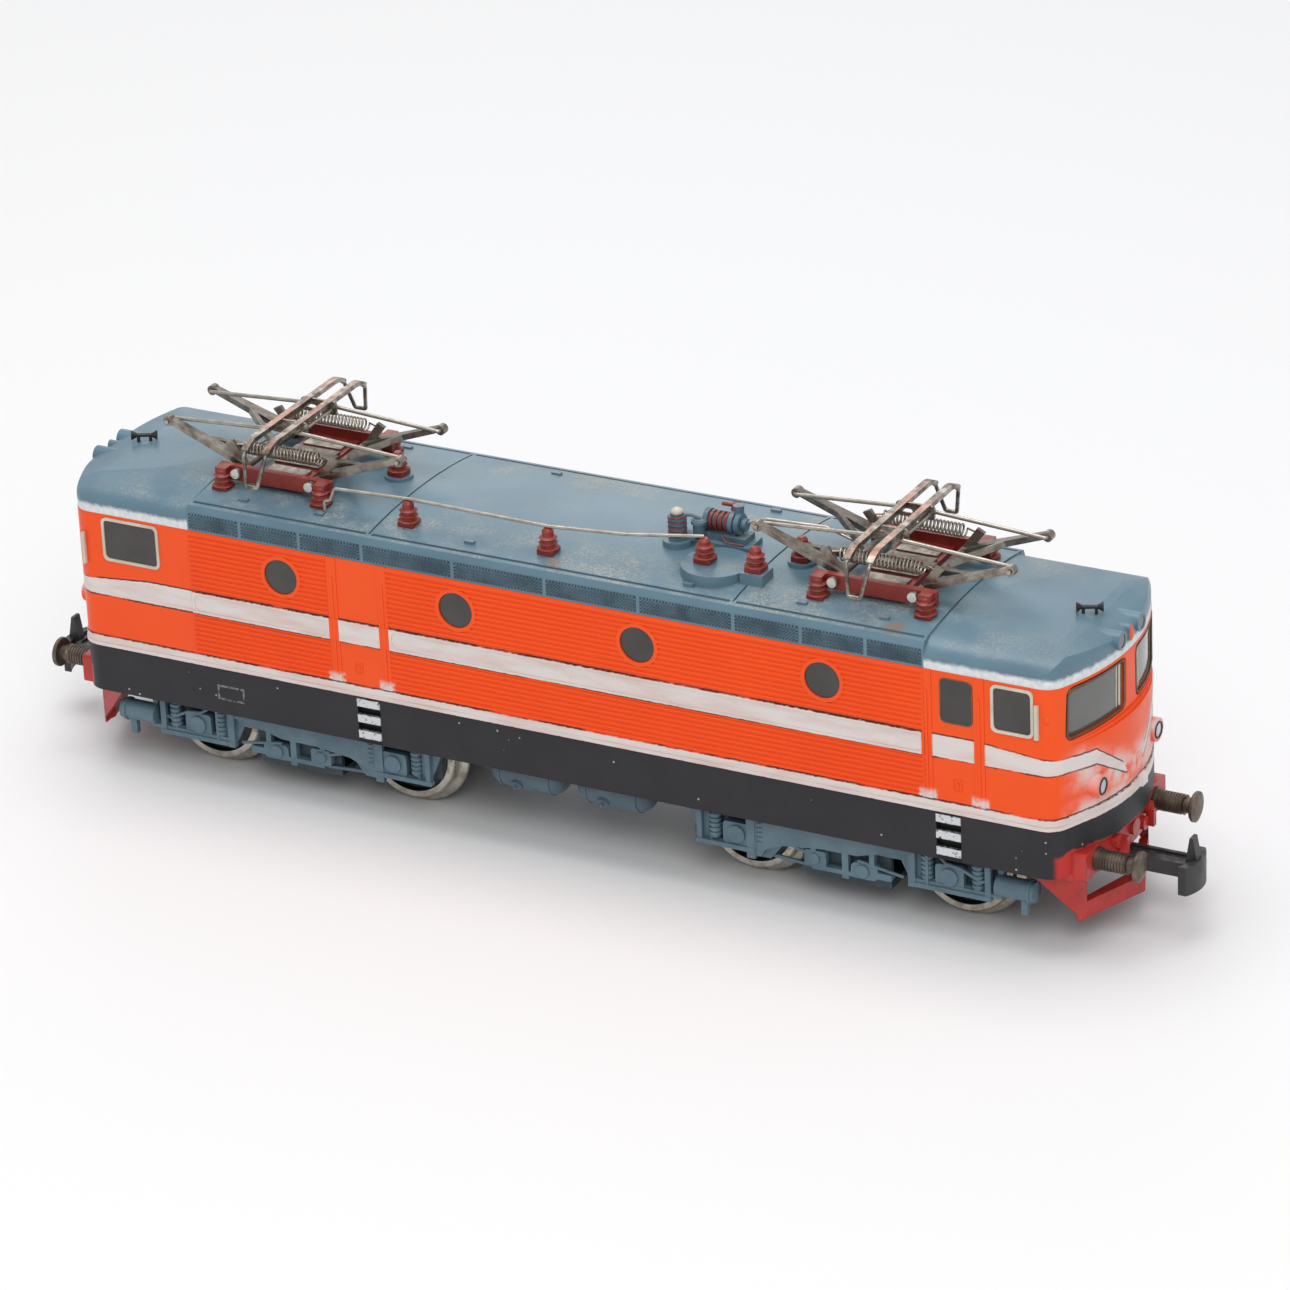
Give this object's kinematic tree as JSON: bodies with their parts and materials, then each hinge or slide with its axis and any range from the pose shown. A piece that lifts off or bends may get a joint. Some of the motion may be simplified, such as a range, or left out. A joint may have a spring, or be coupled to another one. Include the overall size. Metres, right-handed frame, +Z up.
{
  "type": "model electric locomotive",
  "caption": "Model electric locomotive with swivelling bogies, a geared motor, folding pantographs, sprung pickup shoe and swinging couplers, in a ribbed body with portholes.",
  "frame": {"origin": "under the middle of the locomotive, on the plane through the lowest points of the wheel flanges", "axes": "+X along the locomotive towards the motor bogie, +Z up, +Y across"},
  "size_m": [0.1874, 0.0342, 0.0563],
  "materials": {
    "orange_plastic": "satin orange body with pale bands and a dark skirt",
    "grey_plastic": "matt blue-grey",
    "bogie_plastic": "matt grey-blue",
    "red_plastic": "satin red",
    "insulator_plastic": "matt red-brown",
    "cream_plastic": "matt cream",
    "clear_plastic": "clear, polished",
    "zinc": "blackened zinc casting",
    "steel_wire": "dull nickel silver",
    "nickel": "nickel plated",
    "black_metal": "blackened",
    "laminations": "bare steel sheets",
    "copper": "enamelled copper wire",
    "brass": "bare brass",
    "brown_resin": "brown moulding",
    "carbon": "carbon",
    "rubber": "black rubber",
    "white_gear_plastic": "natural white",
    "screw_steel": "zinc plated"
  },
  "bodies": {
    "locomotive_body": {"body_shell": "orange_plastic", "roof_cover": "grey_plastic", "window_frames": "cream_plastic", "window_glazing_near": "clear_plastic", "window_glazing_far": "clear_plastic", "windscreen_front": "clear_plastic", "windscreen_rear": "clear_plastic", "lamp_lenses": "clear_plastic", "light_guides": "clear_plastic", "headlight_bulbs": "brass", "chassis_frame": "zinc", "air_tanks_near": "bogie_plastic", "air_tanks_far": "bogie_plastic", "body_screws": "screw_steel", "reversing_unit": "copper", "ballast_weight": "zinc", "buffer_beam_front": "red_plastic", "buffer_beam_rear": "red_plastic", "buffers": "nickel", "coupler_screws": "screw_steel", "pivot_screw": "screw_steel", "roof_insulators": "insulator_plastic", "roof_line_long": "steel_wire", "roof_line_short": "steel_wire", "circuit_breaker": "grey_plastic", "breaker_windings": "copper", "horns": "black_metal", "pantograph_base_front": "insulator_plastic", "pantograph_springs_front": "steel_wire", "pantograph_base_rear": "insulator_plastic", "pantograph_springs_rear": "steel_wire"},
    "motor_bogie": {"motor_bogie_frame": "zinc", "motor_bogie_sides": "bogie_plastic", "field_magnet": "laminations", "field_coil": "copper", "brush_plate": "brown_resin", "carbon_brushes": "carbon"},
    "trailing_bogie": {"trailing_bogie_frame": "zinc", "trailing_bogie_sides": "bogie_plastic", "shoe_springs": "steel_wire"},
    "drive_axle_inner": {"drive_wheelset_inner": "nickel"},
    "drive_axle_outer": {"drive_wheelset_outer": "nickel", "traction_tyres": "rubber"},
    "trailing_axle_inner": {"trailing_wheelset_inner": "nickel"},
    "trailing_axle_outer": {"trailing_wheelset_outer": "nickel"},
    "idler": {"main_gear": "white_gear_plastic"},
    "rotor": {"armature": "laminations"},
    "shoe": {"pickup_shoe": "steel_wire"},
    "front_coupler": {"coupler_front": "black_metal"},
    "rear_coupler": {"coupler_rear": "black_metal"},
    "head_front": {"pantograph_head_front": "steel_wire"},
    "lower_left_front": {"lower_arm_left_front": "steel_wire"},
    "upper_left_front": {"upper_arm_left_front": "steel_wire"},
    "lower_right_front": {"lower_arm_right_front": "steel_wire"},
    "upper_right_front": {"upper_arm_right_front": "steel_wire"},
    "head_rear": {"pantograph_head_rear": "steel_wire"},
    "lower_left_rear": {"lower_arm_left_rear": "steel_wire"},
    "upper_left_rear": {"upper_arm_left_rear": "steel_wire"},
    "lower_right_rear": {"lower_arm_right_rear": "steel_wire"},
    "upper_right_rear": {"upper_arm_right_rear": "steel_wire"}
  },
  "joints": [
    {"name": "motor_bogie_swivel", "type": "hinge", "parent": "locomotive_body", "child": "motor_bogie", "pos_m": [0.0449, 0, 0.0184], "axis": [0, 0, 1], "range_deg": [-8, 8]},
    {"name": "trailing_bogie_swivel", "type": "hinge", "parent": "locomotive_body", "child": "trailing_bogie", "pos_m": [-0.0449, 0, 0.0167], "axis": [0, 0, 1], "range_deg": [-8, 8]},
    {"name": "drive_axle_inner_spin", "type": "hinge", "parent": "motor_bogie", "child": "drive_axle_inner", "pos_m": [0.0282, 0, 0.00875], "axis": [0, 1, 0], "continuous": true},
    {"name": "drive_axle_outer_spin", "type": "hinge", "parent": "motor_bogie", "child": "drive_axle_outer", "pos_m": [0.0616, 0, 0.00875], "axis": [0, 1, 0], "continuous": true},
    {"name": "idler_spin", "type": "hinge", "parent": "motor_bogie", "child": "idler", "pos_m": [0.0449, 0, 0.01364], "axis": [0, 1, 0], "continuous": true},
    {"name": "rotor_spin", "type": "hinge", "parent": "motor_bogie", "child": "rotor", "pos_m": [0.0449, 0, 0.02704], "axis": [0, 1, 0], "continuous": true},
    {"name": "trailing_axle_inner_spin", "type": "hinge", "parent": "trailing_bogie", "child": "trailing_axle_inner", "pos_m": [-0.0282, 0, 0.00875], "axis": [0, 1, 0], "continuous": true},
    {"name": "trailing_axle_outer_spin", "type": "hinge", "parent": "trailing_bogie", "child": "trailing_axle_outer", "pos_m": [-0.0616, 0, 0.00875], "axis": [0, 1, 0], "continuous": true},
    {"name": "pickup_shoe_slide", "type": "slide", "parent": "trailing_bogie", "child": "shoe", "axis": [0, 0, 1], "range_m": [0, 0.001], "stiffness_N_per_m": 60, "springref_m": -0.002, "deforming": ["shoe_springs"]},
    {"name": "front_coupler_swing", "type": "hinge", "parent": "locomotive_body", "child": "front_coupler", "pos_m": [0.0755, 0, 0.0099], "axis": [0, 0, 1], "range_deg": [-12, 12]},
    {"name": "rear_coupler_swing", "type": "hinge", "parent": "locomotive_body", "child": "rear_coupler", "pos_m": [-0.0755, 0, 0.0099], "axis": [0, 0, 1], "range_deg": [-12, 12]},
    {"name": "pantograph_front_raise", "type": "hinge", "parent": "locomotive_body", "child": "lower_right_front", "pos_m": [0.0547, 0, 0.049], "axis": [0, -1, 0], "range_deg": [0, 40], "deforming": ["pantograph_springs_front"]},
    {"name": "pantograph_front_lower_left", "type": "hinge", "parent": "locomotive_body", "child": "lower_left_front", "pos_m": [0.0423, 0, 0.049], "axis": [0, 1, 0], "range_deg": [0, 40]},
    {"name": "pantograph_front_upper_right", "type": "hinge", "parent": "lower_right_front", "child": "upper_right_front", "pos_m": [0.068, 0, 0.0538], "axis": [0, 1, 0], "range_deg": [0, 87.03]},
    {"name": "pantograph_front_upper_left", "type": "hinge", "parent": "lower_left_front", "child": "upper_left_front", "pos_m": [0.029, 0, 0.0538], "axis": [0, -1, 0], "range_deg": [0, 87.03]},
    {"name": "pantograph_front_head", "type": "hinge", "parent": "upper_right_front", "child": "head_front", "pos_m": [0.0507, 0, 0.0549], "axis": [0, -1, 0], "range_deg": [0, 47.03]},
    {"name": "pantograph_rear_raise", "type": "hinge", "parent": "locomotive_body", "child": "lower_right_rear", "pos_m": [-0.0423, 0, 0.049], "axis": [0, -1, 0], "range_deg": [0, 40], "deforming": ["pantograph_springs_rear"]},
    {"name": "pantograph_rear_lower_left", "type": "hinge", "parent": "locomotive_body", "child": "lower_left_rear", "pos_m": [-0.0547, 0, 0.049], "axis": [0, 1, 0], "range_deg": [0, 40]},
    {"name": "pantograph_rear_upper_right", "type": "hinge", "parent": "lower_right_rear", "child": "upper_right_rear", "pos_m": [-0.029, 0, 0.0538], "axis": [0, 1, 0], "range_deg": [0, 87.03]},
    {"name": "pantograph_rear_upper_left", "type": "hinge", "parent": "lower_left_rear", "child": "upper_left_rear", "pos_m": [-0.068, 0, 0.0538], "axis": [0, -1, 0], "range_deg": [0, 87.03]},
    {"name": "pantograph_rear_head", "type": "hinge", "parent": "upper_right_rear", "child": "head_rear", "pos_m": [-0.0463, 0, 0.0549], "axis": [0, -1, 0], "range_deg": [0, 47.03]}
  ],
  "couplings": [
    {"joint": "drive_axle_outer_spin", "follows": "drive_axle_inner_spin", "ratio": 1},
    {"joint": "idler_spin", "follows": "drive_axle_inner_spin", "ratio": -0.58182},
    {"joint": "rotor_spin", "follows": "drive_axle_inner_spin", "ratio": 2.6667},
    {"joint": "pantograph_front_lower_left", "follows": "pantograph_front_raise", "ratio": 1},
    {"joint": "pantograph_front_upper_right", "follows": "pantograph_front_raise", "ratio": 2.1633},
    {"joint": "pantograph_front_upper_left", "follows": "pantograph_front_raise", "ratio": 2.1633},
    {"joint": "pantograph_front_head", "follows": "pantograph_front_raise", "ratio": 1.1633},
    {"joint": "pantograph_rear_lower_left", "follows": "pantograph_rear_raise", "ratio": 1},
    {"joint": "pantograph_rear_upper_right", "follows": "pantograph_rear_raise", "ratio": 2.1633},
    {"joint": "pantograph_rear_upper_left", "follows": "pantograph_rear_raise", "ratio": 2.1633},
    {"joint": "pantograph_rear_head", "follows": "pantograph_rear_raise", "ratio": 1.1633}
  ]
}
